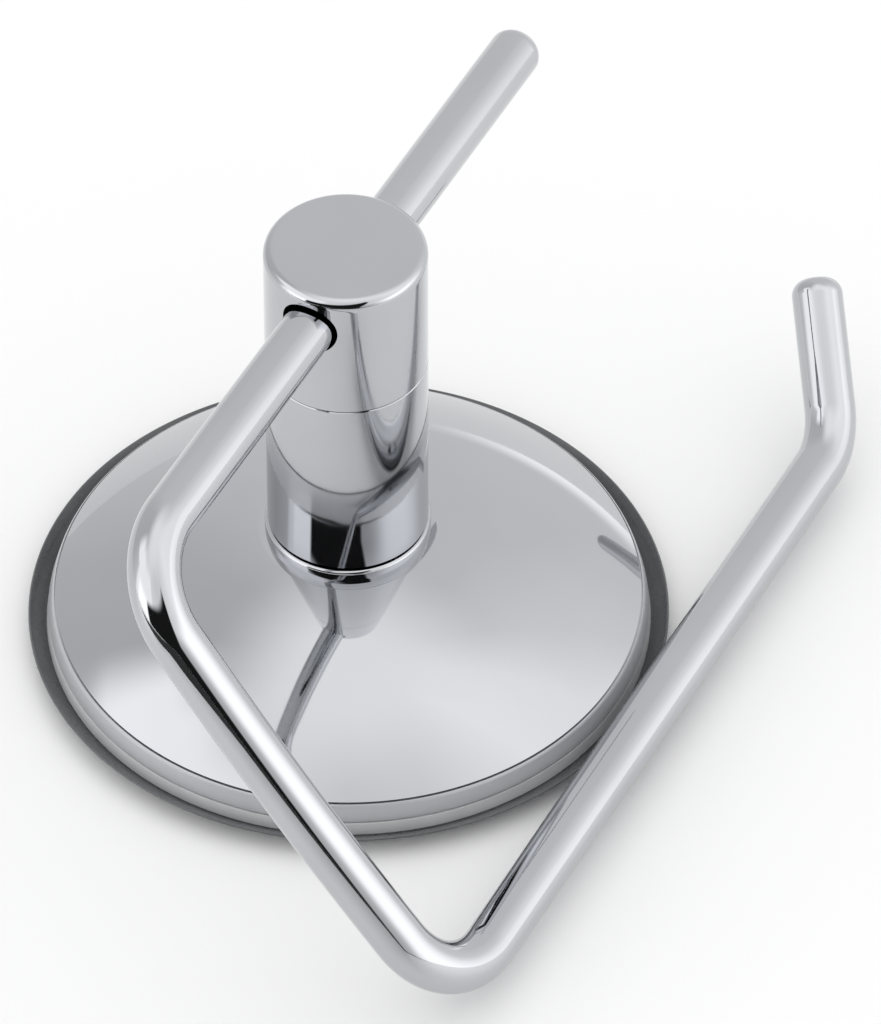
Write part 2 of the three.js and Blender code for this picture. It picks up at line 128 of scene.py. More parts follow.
# Sizes of the post
EDGE_CHAMFER = 0.1 * MM
SEAM_GAP = 0.1 * MM
SEAM_LEVEL = (barrel_high.z + head_low.z) / 2
COLLAR_ROUND = 0.5 * MM
STEM_HOLE = 4.3 * MM
BARREL_BORE = 8 * MM
NUT_POCKET = 6.65 * MM
HEAD_ROUND = 1.25 * MM
CROSS_HOLE = 3.7 * MM
CROSS_HOLE_LEVEL = head_low.z + 13 * MM
SCREW_HOLE = 2.65 * MM
SCREW_HOLE_DEPTH = 7 * MM
WASHER_SEAT = 7.7 * MM
WINDOW_HALF = 5.2 * MM

# Sizes of the arm, before it hangs down
ROD_RADIUS = 3.25 * MM
ROD_BEND = 11 * MM
ROD_END_ROUND = 2.2 * MM
FREE_END = 47.2 * MM
BENT_END = 56 * MM
ARM_REACH = 69 * MM
ROLL_BAR = 107 * MM
TIP_LENGTH = 21.5 * MM
TIP_ANGLE = math.radians(48)
ARM_HANG = math.radians(51.791)
LEG_BOW = math.radians(2.3)
LEG_BOW_RADIUS = 560 * MM

# Fineness of the meshes
BROAD_TURN = 288
POST_TURN = 240
ROD_TURN = 72
BEND_STEPS = 40
ROUND_STEPS = 8
DOME_STEPS = 64
INNER_STEPS = 24
RIB_STEPS = 12
WINDOW_COLUMNS = 36
WINDOW_ROWS = 30
HEAD_SIDE_COLUMNS = 72
HEAD_TOP_RINGS = (0.75, 0.5, 0.25, 0)
MOUTH_ROWS = 10
MOUTH_CROWDING = 1.5
WELD_STEPS_PER_METRE = 1e7
SHARP_ANGLE = math.radians(30)


def circle_arc(centre, radius, start, end, steps):
    """Points (radius, level) of an arc in a profile; the angles are in degrees from outwards to up."""
    points = []
    for step in range(steps + 1):
        angle = math.radians(start + (end - start) * step / steps)
        points.append((centre[0] + radius * math.cos(angle), centre[1] + radius * math.sin(angle)))
    return points


def bezier(start, control, end, steps):
    """Points of a quadratic curve in a profile."""
    points = []
    for step in range(steps + 1):
        t = step / steps
        weights = ((1 - t) ** 2, 2 * t * (1 - t), t * t)
        corners = (start, control, end)
        points.append(tuple(sum(w * c[i] for w, c in zip(weights, corners)) for i in (0, 1)))
    return points


def mesh_piece(name, vertices, faces):
    """Object from points and faces, smooth apart from its sharp edges."""
    mesh = bpy.data.meshes.new(name)
    mesh.from_pydata(vertices, [], faces)
    mesh.validate()
    mesh.polygons.foreach_set("use_smooth", [True] * len(mesh.polygons))
    mesh.set_sharp_from_angle(angle=SHARP_ANGLE)
    piece = bpy.data.objects.new(name, mesh)
    bpy.context.scene.collection.objects.link(piece)
    return piece


def lathe(name, profile, turn):
    """Closed piece turned about Z from a profile that runs outwards below and inwards above.
    A radius may be a function of the angle, and a first and last radius of 0 close on the axis."""
    vertices = []
    rings = []
    for radius, level in profile:
        if radius == 0:
            rings.append([len(vertices)] * turn)
            vertices.append((0, 0, level))
            continue
        rings.append(list(range(len(vertices), len(vertices) + turn)))
        for i in range(turn):
            angle = 2 * math.pi * i / turn
            r = radius(angle) if callable(radius) else radius
            vertices.append((r * math.cos(angle), r * math.sin(angle), level))
    on_axis = profile[0][0] == 0 and profile[-1][0] == 0
    pairs = list(zip(rings, rings[1:]))
    if not on_axis:
        pairs.append((rings[-1], rings[0]))
    faces = []
    for low, high in pairs:
        for i in range(turn):
            j = (i + 1) % turn
            corners = [low[i], low[j], high[j], high[i]]
            faces.append(list(dict.fromkeys(corners)))
    return mesh_piece(name, vertices, faces)


def sphere_points(radius, start, end, steps):
    """Points of an arc of a sphere that shares the dome's centre, between two distances from the axis."""
    angles = [math.degrees(math.acos(r / radius)) for r in (start, end)]
    return circle_arc((0, DOME_CENTRE), radius, angles[0], angles[1], steps)


def along(start, end, length):
    """Point at a given length from the start of a line."""
    share = length / math.dist(start, end)
    return tuple(a + (b - a) * share for a, b in zip(start, end))


def pad_disc():
    """Outer part of the pad: flat underneath, a lip turned up round the cup, thicker inside."""
    foot = (PAD_FOOT, 0)
    tip = (PAD_RADIUS, LIP_TOP - LIP_ROUND)
    root = (LIP_ROOT, PAD_TOP)
    tip_top = (PAD_RADIUS - LIP_ROUND, LIP_TOP)
    dish_in, dish_bend, dish_out = PAD_DISH_EDGE
    profile = [(SOCKET_OUTER, PAD_DISH)]
    profile += bezier((dish_in, PAD_DISH), (dish_bend, 0), (dish_out, 0), ROUND_STEPS)
    profile += bezier((PAD_FOOT - FOOT_ROUND, 0), foot, along(foot, tip, FOOT_ROUND), ROUND_STEPS)
    profile += bezier(tip, (PAD_RADIUS, LIP_TOP), tip_top, ROUND_STEPS)
    profile += bezier(along(root, tip_top, LIP_ROOT_ROUND), root, (LIP_ROOT_END, PAD_TOP), ROUND_STEPS)
    profile += [(PAD_TAPER[1], PAD_TOP), (PAD_TAPER[0], SOCKET_FLOOR), (SOCKET_OUTER, SOCKET_FLOOR)]
    return lathe("pad_disc", profile, BROAD_TURN)


def pad_boss():
    """Middle of the pad with the socket that holds the stud's flange."""
    profile = [(0, PAD_DISH), (SOCKET_OUTER, PAD_DISH), (SOCKET_OUTER, SOCKET_TOP)]
    profile += [(SOCKET_INNER, SOCKET_TOP), (SOCKET_INNER, SOCKET_FLOOR), (0, SOCKET_FLOOR)]
    return lathe("pad_boss", profile, BROAD_TURN)


def dome_skin():
    """Polished dome: steep rim, shallow spherical top and a flat land for the collar."""
    edge_slope = math.asin(EDGE_RADIUS / DOME_SPHERE)
    land_under = LAND_LEVEL - DOME_WALL
    inner_sphere = DOME_SPHERE - DOME_WALL
    inner_land = math.sqrt(inner_sphere ** 2 - (land_under - DOME_CENTRE) ** 2)
    inner_rim = RIM_RADIUS - DOME_WALL
    hole = SPIGOT_RADIUS + SPIGOT_PLAY
    edge = (EDGE_RADIUS, EDGE_LEVEL)
    shoulder = (EDGE_RADIUS + RIM_SHOULDER * math.cos(edge_slope),
                EDGE_LEVEL - RIM_SHOULDER * math.sin(edge_slope))
    foot = (RIM_RADIUS, RIM_LEVEL)
    foot_in = (RIM_RADIUS - RIM_ROUND, RIM_LEVEL)
    profile = [(inner_rim, RIM_LEVEL)]
    profile += bezier(foot_in, foot, along(foot, shoulder, RIM_ROUND), ROUND_STEPS)
    profile += bezier(along(shoulder, foot, RIM_SHOULDER), shoulder, edge, ROUND_STEPS)
    groove_floor = EDGE_LEVEL - RIM_GROOVE_DEPTH
    profile += [(EDGE_RADIUS, groove_floor), (EDGE_RADIUS - RIM_GROOVE, groove_floor)]
    profile += sphere_points(DOME_SPHERE, EDGE_RADIUS - RIM_GROOVE, COLLAR_RADIUS + LAND_WIDTH, DOME_STEPS)
    profile += [(hole, LAND_LEVEL), (hole, land_under)]
    profile += sphere_points(inner_sphere, inner_land, inner_rim, INNER_STEPS)
    dome = lathe("dome_skin", profile, BROAD_TURN)
    mark_dull_rim(dome.data)
    return dome


def mark_dull_rim(mesh):
    """Marks the rim outside the groove, which is left unpolished."""
    dull = mesh.attributes.new("dull", "FLOAT", "POINT")
    rim = EDGE_RADIUS - RIM_GROOVE / 2
    dull.data.foreach_set("value", [float(math.hypot(v.co.x, v.co.y) > rim) for v in mesh.vertices])


def cup_skin():
    """Moulding under the dome: its band shows below the rim, its hub guides the stud's square neck."""
    neck = many_sided(4, NECK_HOLE)
    inner_sphere = CUP_SPHERE - CUP_WALL
    hub_flat = math.sqrt(CUP_SPHERE ** 2 - (cup_high.z - DOME_CENTRE) ** 2)
    band_foot = (BAND_RADIUS, PAD_TOP)
    band_top = (BAND_RADIUS - BAND_TAPER, BAND_TOP)
    profile = [(neck, HUB_BOTTOM), (HUB_RADIUS, HUB_BOTTOM)]
    profile += sphere_points(inner_sphere, HUB_RADIUS, CUP_RING[0], INNER_STEPS)
    profile += [(CUP_RING[0], PAD_TOP)]
    profile += bezier((BAND_RADIUS - BAND_ROUND, PAD_TOP), band_foot,
                      along(band_foot, band_top, BAND_ROUND), ROUND_STEPS)
    profile += bezier(along(band_top, band_foot, BAND_ROUND), band_top,
                      (band_top[0] - BAND_ROUND, BAND_TOP), ROUND_STEPS)
    profile += [(CUP_RING[1], BAND_TOP)]
    profile += sphere_points(CUP_SPHERE, CUP_RING[1], hub_flat, INNER_STEPS)
    profile += [(neck, cup_high.z)]
    cup = lathe("cup_skin", profile, BROAD_TURN)
    add_ribs(cup.data, inner_sphere + CUP_WALL / 2)
    return cup


def add_ribs(mesh, sphere):
    """Radial ribs of the cup, from the hub to the ring."""
    root = HUB_RADIUS - RIB_THICKNESS / 2
    outline = [(root, HUB_BOTTOM), (RIB_KNEE, HUB_BOTTOM)]
    outline += sphere_points(sphere, CUP_RING[0], root, RIB_STEPS)
    editor = bmesh.new()
    editor.from_mesh(mesh)
    for index in range(RIB_COUNT):
        turn = Matrix.Rotation((index + 0.5) * 2 * math.pi / RIB_COUNT, 3, "Z")
        sides = [[editor.verts.new(turn @ Vector((r, offset, level))) for r, level in outline]
                 for offset in (RIB_THICKNESS / 2, -RIB_THICKNESS / 2)]
        editor.faces.new(sides[0][::-1])
        editor.faces.new(sides[1])
        for i in range(len(outline)):
            j = (i + 1) % len(outline)
            editor.faces.new((sides[0][i], sides[0][j], sides[1][j], sides[1][i]))
    editor.to_mesh(mesh)
    editor.free()


def collar_skin():
    """Polished ring that the post stands on, with the spigot that centres it."""
    profile = [(STEM_HOLE, collar_low.z), (SPIGOT_RADIUS, collar_low.z), (SPIGOT_RADIUS, LAND_LEVEL)]
    profile += [(COLLAR_RADIUS, LAND_LEVEL)]
    profile += circle_arc((COLLAR_RADIUS - COLLAR_ROUND, collar_high.z - COLLAR_ROUND), COLLAR_ROUND,
                          0, 90, ROUND_STEPS)
    profile += [(STEM_HOLE, collar_high.z)]
    return lathe("collar_skin", profile, POST_TURN)


def many_sided(sides, apothem):
    """Radius of a regular outline as a function of the angle; one of its sides faces +X."""
    def radius(angle):
        half = math.pi / sides
        from_flat = (angle + half) % (2 * half) - half
        return apothem / math.cos(from_flat)
    return radius


def barrel_skin():
    """Lower part of the post: a tube with a thick foot and a six-sided pocket for the nut."""
    pocket = many_sided(6, NUT_POCKET)
    low, high = barrel_low.z, SEAM_LEVEL - SEAM_GAP / 2
    profile = [(STEM_HOLE, low), (POST_RADIUS - EDGE_CHAMFER, low), (POST_RADIUS, low + EDGE_CHAMFER)]
    profile += [(POST_RADIUS, high - EDGE_CHAMFER), (POST_RADIUS - EDGE_CHAMFER, high), (BARREL_BORE, high)]
    profile += [(BARREL_BORE, nut_high.z), (pocket, nut_high.z), (pocket, nut_low.z), (STEM_HOLE, nut_low.z)]
    return lathe("barrel_skin", profile, POST_TURN)


class Sheet:
    """Points and faces of a piece that is sewn together from grids."""

    def __init__(self):
        self.vertices = []
        self.faces = []
        self.known = {}

    def point(self, co):
        """Index of a point, the same one for points that coincide."""
        key = tuple(round(c * WELD_STEPS_PER_METRE) for c in co)
        if key not in self.known:
            self.known[key] = len(self.vertices)
            self.vertices.append(tuple(co))
        return self.known[key]

    def strip(self, first, second, closed=True):
        """Quads between two rows of points; rows run anticlockwise seen from outside, first below."""
        a = [self.point(co) for co in first]
        b = [self.point(co) for co in second]
        count = len(a) if closed else len(a) - 1
        for i in range(count):
            j = (i + 1) % len(a)
            corners = list(dict.fromkeys([a[i], a[j], b[j], b[i]]))
            if len(corners) > 2:
                self.faces.append(corners)


def head_skin():
    """Upper part of the post: rounded flat top, cross hole for the arm, blind hole for the screw.
    Each end of the cross hole lies in a window of the wall that has a mesh of its own."""
    sheet = Sheet()
    bottom = SEAM_LEVEL + SEAM_GAP / 2
    side_high = head_high.z - HEAD_ROUND
    window_low = CROSS_HOLE_LEVEL - WINDOW_HALF
    half_angle = math.asin(WINDOW_HALF / POST_RADIUS)
    angles = head_angles(half_angle)
    levels = [window_low + (side_high - window_low) * i / WINDOW_ROWS for i in range(WINDOW_ROWS + 1)]
    foot = [(SCREW_HOLE, head_low.z), (WASHER_SEAT, head_low.z), (WASHER_SEAT, bottom)]
    foot += [(POST_RADIUS - EDGE_CHAMFER, bottom), (POST_RADIUS, bottom + EDGE_CHAMFER)]
    foot += [(POST_RADIUS, window_low)]
    top = circle_arc((POST_RADIUS - HEAD_ROUND, side_high), HEAD_ROUND, 0, 90, ROUND_STEPS)
    top += [(POST_RADIUS * share, head_high.z) for share in HEAD_TOP_RINGS]
    hole_top = head_low.z + SCREW_HOLE_DEPTH
    screw_hole = [(0, hole_top), (SCREW_HOLE, hole_top), (SCREW_HOLE, head_low.z)]
    for profile in (foot, top, screw_hole):
        sew_rings(sheet, profile, angles)
    sew_sides(sheet, angles, levels)
    mouths = [cross_hole_mouth(sheet, side, half_angle, levels) for side in (1, -1)]
    far_mouth = [mouths[1][WINDOW_COLUMNS - i] for i in range(len(mouths[1]))]
    sheet.strip(mouths[0], far_mouth)
    return mesh_piece("head_skin", sheet.vertices, sheet.faces)


def head_angles(half_angle):
    """Angles round the head: across the window at +X, along a side, and the same again from -X."""
    window_step = 2 * half_angle / WINDOW_COLUMNS
    side_step = (math.pi - 2 * half_angle) / HEAD_SIDE_COLUMNS
    angles = [window_step * i - half_angle for i in range(WINDOW_COLUMNS)]
    angles += [half_angle + side_step * i for i in range(HEAD_SIDE_COLUMNS)]
    return angles + [angle + math.pi for angle in angles]


def sew_rings(sheet, profile, angles):
    """Strips between the rings of a turned profile."""
    rings = [[(r * math.cos(a), r * math.sin(a), level) for a in angles] for r, level in profile]
    for low, high in zip(rings, rings[1:]):
        sheet.strip(low, high)


def sew_sides(sheet, angles, levels):
    """Wall of the head between its two windows."""
    half_turn = WINDOW_COLUMNS + HEAD_SIDE_COLUMNS
    for start in (WINDOW_COLUMNS, half_turn + WINDOW_COLUMNS):
        columns = [angles[(start + i) % len(angles)] for i in range(HEAD_SIDE_COLUMNS + 1)]
        rows = [[(POST_RADIUS * math.cos(a), POST_RADIUS * math.sin(a), level) for a in columns]
                for level in levels]
        for low, high in zip(rows, rows[1:]):
            sheet.strip(low, high, closed=False)


def cross_hole_mouth(sheet, side, half_angle, levels):
    """Wall of the head round one end of the cross hole; returns the points of the hole's edge.
    The rows go anticlockwise seen from outside, from the window's edge in to the hole."""
    def on_wall(y, z):
        return (side * math.sqrt(POST_RADIUS ** 2 - y * y), y, z)

    low, high = levels[0], levels[-1]
    spread_angles = [half_angle * (2 * i / WINDOW_COLUMNS - 1) for i in range(WINDOW_COLUMNS + 1)]
    ys = [POST_RADIUS * math.sin(a) * side for a in spread_angles]
    edge_points = [(y, low) for y in ys[:-1]] + [(ys[-1], z) for z in levels[:-1]]
    edge_points += [(y, high) for y in reversed(ys[1:])] + [(ys[0], z) for z in reversed(levels[1:])]
    middle = (low + high) / 2
    hole_points = []
    for y, z in edge_points:
        bearing = math.atan2((z - middle) / (high - low), y / (2 * abs(ys[0])))
        hole_y = CROSS_HOLE * math.cos(bearing)
        hole_z = CROSS_HOLE_LEVEL + CROSS_HOLE * math.sin(bearing)
        hole_points.append((hole_y, hole_z))
    previous = [on_wall(y, z) for y, z in edge_points]
    for row in range(1, MOUTH_ROWS + 1):
        share = 1 - (1 - row / MOUTH_ROWS) ** MOUTH_CROWDING
        mixed = [(e[0] + (h[0] - e[0]) * share, e[1] + (h[1] - e[1]) * share)
                 for e, h in zip(edge_points, hole_points)]
        current = [on_wall(y, z) for y, z in mixed]
        sheet.strip(previous, current)
        previous = current
    return previous


def wire_stations():
    """Centre line of the arm as (point, direction, radius), flat in the XY plane."""
    tip_direction = Vector((math.cos(TIP_ANGLE), math.sin(TIP_ANGLE), 0))
    leg = -BENT_END + ROD_BEND * math.tan(LEG_BOW)
    bow = ARM_REACH / 2 * math.tan(LEG_BOW)
    flat = ((FREE_END, 0), (leg, 0), (leg - bow, -ARM_REACH / 2), (leg, -ARM_REACH),
            (ROLL_BAR - BENT_END, -ARM_REACH))
    corners = [Vector((x, y, 0)) for x, y in flat]
    corners.append(corners[-1] + tip_direction * TIP_LENGTH)
    radii = (ROD_BEND, LEG_BOW_RADIUS, ROD_BEND, ROD_BEND)
    stations = wire_end(corners[0], (corners[1] - corners[0]).normalized(), 1)
    for before, corner, after, radius in zip(corners, corners[1:], corners[2:], radii):
        stations += wire_bend(before, corner, after, radius)
    last = (corners[-1] - corners[-2]).normalized()
    stations += reversed(wire_end(corners[-1], last, -1))
    return stations


def wire_end(end, direction, inward):
    """Stations of a rounded end, from its flat face to the full section."""
    stations = [(end, direction, 0)]
    steps = 2 * ROUND_STEPS
    for step in range(steps + 1):
        angle = math.pi / 2 * step / steps
        depth = ROD_END_ROUND * (1 - math.cos(angle))
        radius = ROD_RADIUS - ROD_END_ROUND * (1 - math.sin(angle))
        stations.append((end + direction * (inward * depth), direction, radius))
    return stations


def wire_bend(before, corner, after, radius):
    """Stations round one bend of the arm."""
    enter = (corner - before).normalized()
    leave = (after - corner).normalized()
    turn = enter.angle(leave)
    axis = enter.cross(leave).normalized()
    start = corner - enter * (radius * math.tan(turn / 2))
    centre = start + axis.cross(enter) * radius
    stations = []
    for step in range(BEND_STEPS + 1):
        rotation = Matrix.Rotation(turn * step / BEND_STEPS, 3, axis)
        stations.append((centre + rotation @ (start - centre), rotation @ enter, ROD_RADIUS))
    return stations


def arm_wire():
    """One bent wire: pivot bar, arm, roll bar and turned-up tip, hung at the angle of the solid."""
    up = Vector((0, 0, 1))
    vertices = []
    rings = []
    for point, direction, radius in wire_stations():
        side = up.cross(direction)
        if radius == 0:
            rings.append([len(vertices)] * ROD_TURN)
            vertices.append(point)
            continue
        rings.append(list(range(len(vertices), len(vertices) + ROD_TURN)))
        for i in range(ROD_TURN):
            angle = 2 * math.pi * i / ROD_TURN
            vertices.append(point + (side * math.cos(angle) + up * math.sin(angle)) * radius)
    faces = []
    for first, second in zip(rings, rings[1:]):
        for i in range(ROD_TURN):
            j = (i + 1) % ROD_TURN
            faces.append(list(dict.fromkeys([first[i], first[j], second[j], second[i]])))
    piece = mesh_piece("arm_wire", vertices, faces)
    lift = Matrix.Translation((0, 0, arm_axis_level()))
    piece.data.transform(lift @ Matrix.Rotation(ARM_HANG, 4, "X"))
    return piece


def arm_axis_level():
    """Level of the pivot bar's centre line, from the joint that the arm swings on."""
    swing = next(j for j in frame["joints"] if j["name"] == "arm_swing")
    return swing["pos_m"][2]


# Most values of a noise texture lie in this range
NOISE_RANGE = (0.3, 0.7)
FINE_RELIEF = 0.02 * MM


def node_material(name):
    """Material with its node tree, its shader and a texture coordinate in metres."""
    material = bpy.data.materials.new(name)
    material.use_nodes = True
    tree = material.node_tree
    shader = tree.nodes["Principled BSDF"]
    place = tree.nodes.new("ShaderNodeTexCoord")
    return material, tree, shader, place.outputs["Object"]


def noise(tree, vector, scale, detail):
    """Noise texture; scale is in waves a metre."""
    node = tree.nodes.new("ShaderNodeTexNoise")
    node.inputs["Scale"].default_value = scale
    node.inputs["Detail"].default_value = detail
    tree.links.new(vector, node.inputs["Vector"])
    return node.outputs["Fac"]


def spread(tree, value, low, high):
    """Maps noise onto a range of plain numbers."""
    node = tree.nodes.new("ShaderNodeMapRange")
    node.inputs["From Min"].default_value = NOISE_RANGE[0]
    node.inputs["From Max"].default_value = NOISE_RANGE[1]
    node.inputs["To Min"].default_value = low
    node.inputs["To Max"].default_value = high
    tree.links.new(value, node.inputs["Value"])
    return node.outputs["Result"]


def remap(tree, value, low, high):
    """Maps a mark of 0 to 1 onto a range; its low end may be another node's output."""
    node = tree.nodes.new("ShaderNodeMapRange")
    if isinstance(low, bpy.types.NodeSocket):
        tree.links.new(low, node.inputs["To Min"])
    else:
        node.inputs["To Min"].default_value = low
    node.inputs["To Max"].default_value = high
    tree.links.new(value, node.inputs["Value"])
    return node.outputs["Result"]


def tint(tree, value, dark, light):
    """Maps noise onto a range of colours."""
    node = tree.nodes.new("ShaderNodeValToRGB")
    for element, position, colour in zip(node.color_ramp.elements, NOISE_RANGE, (dark, light)):
        element.position = position
        element.color = (*colour, 1)
    tree.links.new(value, node.inputs["Fac"])
    return node.outputs["Color"]


def relief(tree, shader, value, strength, depth):
    """Bump of a given depth in metres."""
    node = tree.nodes.new("ShaderNodeBump")
    node.inputs["Strength"].default_value = strength
    node.inputs["Distance"].default_value = depth
    tree.links.new(value, node.inputs["Height"])
    tree.links.new(node.outputs["Normal"], shader.inputs["Normal"])


# Metal and roughness of the unpolished rim
DULL_METAL = 0.3
DULL_ROUGHNESS = 0.42


def chrome():
    """Polished chrome plate: bright, with faint cloudiness and the slight waviness of plated metal.
    Where a piece is marked dull it is grey and unpolished."""
    material, tree, shader, place = node_material("polished_chrome")
    dull = tree.nodes.new("ShaderNodeAttribute")
    dull.attribute_name = "dull"
    metal = remap(tree, dull.outputs["Fac"], 1, DULL_METAL)
    tree.links.new(metal, shader.inputs["Metallic"])
    clouds = noise(tree, place, scale=45, detail=3)
    colour = tint(tree, clouds, dark=(0.488, 0.497, 0.518), light=(0.518, 0.527, 0.548))
    tree.links.new(colour, shader.inputs["Base Color"])
    polish = spread(tree, noise(tree, place, scale=160, detail=5), low=0.025, high=0.06)
    roughness = remap(tree, dull.outputs["Fac"], polish, DULL_ROUGHNESS)
    tree.links.new(roughness, shader.inputs["Roughness"])
    relief(tree, shader, noise(tree, place, scale=260, detail=2), strength=0.1, depth=FINE_RELIEF)
    return material


def pad_pvc():
    """Soft charcoal PVC with a waxy gloss."""
    material, tree, shader, place = node_material("charcoal_pvc")
    clouds = noise(tree, place, scale=120, detail=4)
    colour = tint(tree, clouds, dark=(0.066, 0.068, 0.073), light=(0.086, 0.088, 0.094))
    tree.links.new(colour, shader.inputs["Base Color"])
    roughness = spread(tree, noise(tree, place, scale=500, detail=5), low=0.22, high=0.36)
    tree.links.new(roughness, shader.inputs["Roughness"])
    shader.inputs["Coat Weight"].default_value = 0.6
    shader.inputs["Coat Roughness"].default_value = 0.2
    relief(tree, shader, noise(tree, place, scale=1800, detail=3), strength=0.12, depth=FINE_RELIEF)
    return material


def plastic(name, dark, light):
    """Matt moulded plastic with a fine grain."""
    material, tree, shader, place = node_material(name)
    colour = tint(tree, noise(tree, place, scale=200, detail=4), dark, light)
    tree.links.new(colour, shader.inputs["Base Color"])
    roughness = spread(tree, noise(tree, place, scale=700, detail=4), low=0.4, high=0.6)
    tree.links.new(roughness, shader.inputs["Roughness"])
    relief(tree, shader, noise(tree, place, scale=2500, detail=2), strength=0.2, depth=FINE_RELIEF)
    return material


def turned_metal(name, dark, light):
    """Turned metal of a hidden fastener, with fine rings from the tool."""
    material, tree, shader, place = node_material(name)
    shader.inputs["Metallic"].default_value = 1
    colour = tint(tree, noise(tree, place, scale=300, detail=4), dark, light)
    tree.links.new(colour, shader.inputs["Base Color"])
    roughness = spread(tree, noise(tree, place, scale=900, detail=4), low=0.25, high=0.42)
    tree.links.new(roughness, shader.inputs["Roughness"])
    rings = tree.nodes.new("ShaderNodeTexWave")
    rings.wave_type = "BANDS"
    rings.bands_direction = "Z"
    rings.inputs["Scale"].default_value = 900
    tree.links.new(place, rings.inputs["Vector"])
    relief(tree, shader, rings.outputs["Fac"], strength=0.3, depth=FINE_RELIEF)
    return material


def dress(piece, material, slot, body, *nodes):
    """Gives a piece its material and body and hides the nodes that it stands for; the slot is not used."""
    piece.data.materials.clear()
    piece.data.materials.append(material)
    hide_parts(*nodes)
    if body:
        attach(piece, body)


def dress_node(name, material):
    """Gives a carried-over solid its material."""
    node = frame["nodes"][name]
    node.data.materials.clear()
    node.data.materials.append(material)


def build_holder():
    """All pieces of the holder on their bodies."""
    plate = chrome()
    dress(dome_skin(), plate, "chrome", "base", "dome_cover")
    dress(collar_skin(), plate, "chrome", "base", "collar_ring")
    dress(barrel_skin(), plate, "chrome", "barrel", "locking_barrel")
    dress(head_skin(), plate, "chrome", "head", "post_head")
    dress(arm_wire(), plate, "chrome", "arm", "arm_rod")
    pvc = pad_pvc()
    dress(pad_disc(), pvc, "pad_pvc", "base", "suction_pad")
    boss = pad_boss()
    dress(boss, pvc, "pad_pvc", None, "suction_pad")
    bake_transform(boss)
    nylon = plastic("black_nylon", (0.008, 0.008, 0.009), (0.014, 0.014, 0.015))
    moulding = plastic("grey_moulding", (0.58, 0.59, 0.60), (0.64, 0.65, 0.66))
    brass = turned_metal("turned_brass", (0.62, 0.45, 0.18), (0.70, 0.53, 0.24))
    steel = turned_metal("zinc_plated_steel", (0.50, 0.51, 0.52), (0.58, 0.59, 0.60))
    for name in ("thrust_washer", "swivel_washer"):
        dress_node(name, nylon)
    dress(cup_skin(), moulding, "moulding", "base", "base_cup")
    dress_node("barrel_plug", moulding)
    for name in ("pad_stud", "swivel_screw", "spring_washer"):
        dress_node(name, steel)
    dress_node("clamp_nut", brass)


# Camera, from the photograph's perspective
CAMERA_TURN = math.radians(62.889)
CAMERA_RISE = math.radians(45.236)
CAMERA_DISTANCE = 1.2949
CAMERA_AIM = (11.463 * MM, 19.327 * MM)
FRAME_HEIGHT = 1024
FOCAL_PIXELS = 10465
SENSOR = 36
CLIP_START = 0.1
CLIP_END = 20


def camera_axes():
    """Directions to the right of the camera, away from it on the floor, and back to it."""
    right = Vector((math.cos(CAMERA_TURN), -math.sin(CAMERA_TURN), 0))
    away = Vector((math.sin(CAMERA_TURN), math.cos(CAMERA_TURN), 0))
    back = -away * math.cos(CAMERA_RISE) + Vector((0, 0, math.sin(CAMERA_RISE)))
    return right, away, back


def make_camera():
    """Camera at the photograph's angle and framing."""
    right, _, back = camera_axes()
    lens = bpy.data.cameras.new("camera")
    lens.sensor_fit = "VERTICAL"
    lens.sensor_height = SENSOR
    lens.sensor_width = SENSOR
    lens.lens = FOCAL_PIXELS / FRAME_HEIGHT * SENSOR
    lens.clip_start = CLIP_START
    lens.clip_end = CLIP_END
    camera = bpy.data.objects.new("camera", lens)
    bpy.context.scene.collection.objects.link(camera)
    aim = right * CAMERA_AIM[0] + Vector((0, 0, CAMERA_AIM[1]))
    camera.location = aim + back * CAMERA_DISTANCE
    camera.rotation_mode = "QUATERNION"
    camera.rotation_quaternion = (-back).to_track_quat("-Z", "Y")
    bpy.context.scene.camera = camera


# Studio; a direction is a turn to the right from straight away from the camera and a rise, in degrees
FLOOR_SIZE = 4
FLOOR_COLOUR = (0.92, 0.92, 0.92)
FLOOR_ROUGHNESS = 0.3
TENT_RADIUS = 2.5
TENT_FOOT = -10
TENT_STEP = 0.75
WORLD_LEVEL = 1.11
CEILING_LEVEL = 1.37
CEILING_RISE = (55, 82)
# Brightness round the walls as (turn, level)
WALL_LEVELS = (
    (-180, 1.08), (-140, 1.25), (-105, 1.15), (-85, 0.88), (-65, 0.72), (-40, 0.75), (-15, 0.88),
    (35, 0.92), (60, 1.08), (80, 1.4), (105, 1.48), (125, 1.3), (145, 1.15), (180, 1.08),
)
# Patches of light or shade as (turn from, turn to, rise from, rise to, level, soft in turn, soft in rise)
PATCHES = (
    (-150, -94, -10, 56, 1.55, 8, 8),
    (-110, -74, 30, 56, 1.58, 20, 8),
    (-146, -103, -10, 24, 2.0, 8, 8),
    (84, 135, -10, 26, 2.0, 40, 6),
    (12, 40, -10, 3, 1.5, 20, 2.5),
    (144, 200, -10, 20, 0.7, 36, 8),
)
# Right edge of the dark place as (rise, turn), its top as (turn, rise), and its left edge
DARK_RIGHT = ((0, 162), (9, 162), (16, 159), (25, 155), (41, 148), (90, 147))
DARK_TOP = ((147, 53), (230, 22))
DARK_LEFT = 230
DARK_LEVEL = 0.015
DARK_SIDE_SOFT = 2
DARK_TOP_SOFT = 5
# Outline of a dark sheet of painted shade on the floor before the table, standing for the unlit space there
# that shows in reflections, as (to the right, towards the camera)
PAINTED_SHADE_OUTLINE = ((-0.5, 0.19), (-0.075, 0.2), (-0.03, 0.4), (0.5, 0.4), (0.5, 2.2), (-0.5, 2.2))
PAINTED_SHADE_LIFT = 0.5 * MM
PAINTED_SHADE_COLOUR = (0.01, 0.01, 0.01)
PAINTED_SHADE_ROUGHNESS = 0.9


def smooth_step(low, high, value):
    """0 below low, 1 above high and a smooth change between them."""
    share = min(1, max(0, (value - low) / (high - low)))
    return share * share * (3 - 2 * share)


